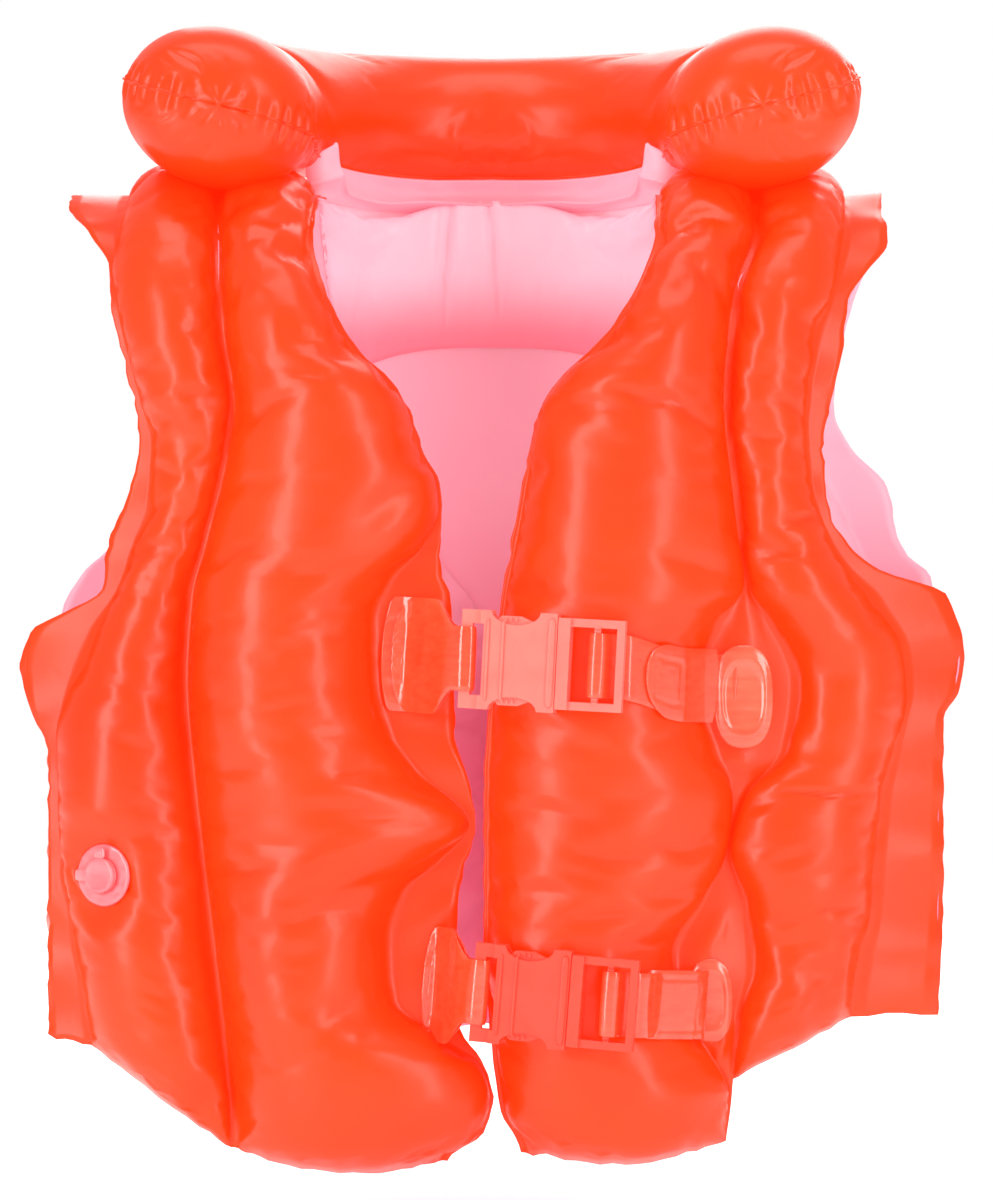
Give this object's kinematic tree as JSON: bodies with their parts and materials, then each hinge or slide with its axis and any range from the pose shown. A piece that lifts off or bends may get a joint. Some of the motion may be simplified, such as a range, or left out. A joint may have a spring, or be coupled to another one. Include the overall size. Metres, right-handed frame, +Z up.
{
  "type": "inflatable swim vest",
  "caption": "Child's inflatable swim vest: welded film chambers over chest, shoulders and back, round collar, two side-release buckles and capped air valves.",
  "frame": {"origin": "middle of the shoulder line, where the wearer's shoulders carry the vest", "axes": "+X to the wearer's left, +Y out of the back, +Z up"},
  "size_m": [0.3886, 0.2461, 0.4771],
  "materials": {
    "shell": "glossy orange-red vinyl film",
    "lining": "pale pink translucent vinyl film",
    "strap": "soft glossy vinyl strap",
    "buckle": "moulded satin plastic",
    "valve": "soft clear pink vinyl"
  },
  "bodies": {
    "vest": {"right_front_side_chamber": "shell", "right_front_centre_chamber": "shell", "left_front_side_chamber": "shell", "left_front_centre_chamber": "shell", "right_front_armhole_film": "shell", "right_front_seam": "shell", "right_front_edge_film": "shell", "left_front_edge_film": "shell", "left_front_seam": "shell", "left_front_armhole_film": "shell", "back_right_side_chamber": "shell", "back_right_inner_chamber": "shell", "back_right_seam": "shell", "back_right_armhole_film": "shell", "back_left_side_chamber": "shell", "back_left_inner_chamber": "shell", "back_left_seam": "shell", "back_left_armhole_film": "shell", "back_shield": "lining", "back_middle_seam": "shell", "back_yoke_chamber": "shell", "right_side_panel": "shell", "left_side_panel": "shell", "neck_band": "lining", "front_valve_flange": "valve", "back_valve_flange": "valve", "upper_buckle_socket": "buckle", "upper_buckle_tab": "strap", "upper_buckle_strap": "strap", "upper_buckle_strap_patch": "strap", "lower_buckle_socket": "buckle", "lower_buckle_tab": "strap", "lower_buckle_strap": "strap", "lower_buckle_strap_patch": "strap"},
    "upper_plug": {"upper_buckle_plug": "buckle"},
    "upper_top_prong": {"upper_buckle_top_prong": "buckle"},
    "upper_bottom_prong": {"upper_buckle_bottom_prong": "buckle"},
    "lower_plug": {"lower_buckle_plug": "buckle"},
    "lower_top_prong": {"lower_buckle_top_prong": "buckle"},
    "lower_bottom_prong": {"lower_buckle_bottom_prong": "buckle"},
    "collar": {"collar_chamber": "shell", "collar_valve_flange": "valve"},
    "front_valve": {"front_valve_stem": "valve"},
    "front_valve_cap": {"front_valve_cap": "valve"},
    "front_valve_flap": {"front_valve_flap": "valve"},
    "back_valve": {"back_valve_stem": "valve"},
    "back_valve_cap": {"back_valve_cap": "valve"},
    "back_valve_flap": {"back_valve_flap": "valve"},
    "collar_valve": {"collar_valve_stem": "valve"},
    "collar_valve_cap": {"collar_valve_cap": "valve"},
    "collar_valve_flap": {"collar_valve_flap": "valve"}
  },
  "joints": [
    {"name": "upper_plug_slide", "type": "slide", "parent": "vest", "child": "upper_plug", "axis": [0.9835, -0.1734, -0.0523], "range_m": [0, 0.028], "deforming": ["upper_buckle_strap"]},
    {"name": "upper_top_prong_flex", "type": "hinge", "parent": "upper_plug", "child": "upper_top_prong", "pos_m": [0.02699, -0.11934, -0.19205], "axis": [-0.1736, -0.9848, 0], "range_deg": [0, 8], "stiffness_Nm_per_rad": 0.002},
    {"name": "upper_bottom_prong_flex", "type": "hinge", "parent": "upper_plug", "child": "upper_bottom_prong", "pos_m": [0.02576, -0.11912, -0.21601], "axis": [-0.1736, -0.9848, 0], "range_deg": [-8, 0], "stiffness_Nm_per_rad": 0.002},
    {"name": "lower_plug_slide", "type": "slide", "parent": "vest", "child": "lower_plug", "axis": [0.9818, -0.1731, -0.0785], "range_m": [0, 0.028], "deforming": ["lower_buckle_strap"]},
    {"name": "lower_top_prong_flex", "type": "hinge", "parent": "lower_plug", "child": "lower_top_prong", "pos_m": [0.03227, -0.12123, -0.32758], "axis": [-0.1736, -0.9848, 0], "range_deg": [0, 8], "stiffness_Nm_per_rad": 0.002},
    {"name": "lower_bottom_prong_flex", "type": "hinge", "parent": "lower_plug", "child": "lower_bottom_prong", "pos_m": [0.03041, -0.1209, -0.35151], "axis": [-0.1736, -0.9848, 0], "range_deg": [-8, 0], "stiffness_Nm_per_rad": 0.002},
    {"name": "collar_tilt", "type": "hinge", "parent": "vest", "child": "collar", "pos_m": [0, 0.0717, 0.0058], "axis": [-1, 0, 0], "range_deg": [0, 20]},
    {"name": "front_valve_stem_slide", "type": "slide", "parent": "vest", "child": "front_valve", "axis": [-0.5026, -0.8645, 0], "range_m": [0, 0.009]},
    {"name": "front_valve_cap_hinge", "type": "hinge", "parent": "front_valve", "child": "front_valve_cap", "pos_m": [-0.16984, -0.08251, -0.291], "axis": [0, 0, -1], "range_deg": [0, 130]},
    {"name": "front_valve_flap_hinge", "type": "hinge", "parent": "front_valve", "child": "front_valve_flap", "pos_m": [-0.15753, -0.07307, -0.291], "axis": [0, 0, 1], "range_deg": [0, 30], "stiffness_Nm_per_rad": 0.00001},
    {"name": "back_valve_stem_slide", "type": "slide", "parent": "vest", "child": "back_valve", "axis": [0, 1, 0], "range_m": [0, 0.009]},
    {"name": "back_valve_cap_hinge", "type": "hinge", "parent": "back_valve", "child": "back_valve_cap", "pos_m": [0.05633, 0.1014, -0.3], "axis": [0, 0, -1], "range_deg": [0, 130]},
    {"name": "back_valve_flap_hinge", "type": "hinge", "parent": "back_valve", "child": "back_valve_flap", "pos_m": [0.05043, 0.08705, -0.3], "axis": [0, 0, 1], "range_deg": [0, 30], "stiffness_Nm_per_rad": 0.00001},
    {"name": "collar_valve_stem_slide", "type": "slide", "parent": "collar", "child": "collar_valve", "axis": [0, 0.8988, -0.4384], "range_m": [0, 0.009]},
    {"name": "collar_valve_cap_hinge", "type": "hinge", "parent": "collar_valve", "child": "collar_valve_cap", "pos_m": [0.0115, 0.10863, 0.01899], "axis": [0, -0.4384, -0.8988], "range_deg": [0, 130]},
    {"name": "collar_valve_flap_hinge", "type": "hinge", "parent": "collar_valve", "child": "collar_valve_flap", "pos_m": [0.0056, 0.09573, 0.02528], "axis": [0, 0.4384, 0.8988], "range_deg": [0, 30], "stiffness_Nm_per_rad": 0.00001}
  ],
  "couplings": [
    {"joint": "upper_bottom_prong_flex", "follows": "upper_top_prong_flex", "ratio": -1},
    {"joint": "lower_bottom_prong_flex", "follows": "lower_top_prong_flex", "ratio": -1}
  ]
}
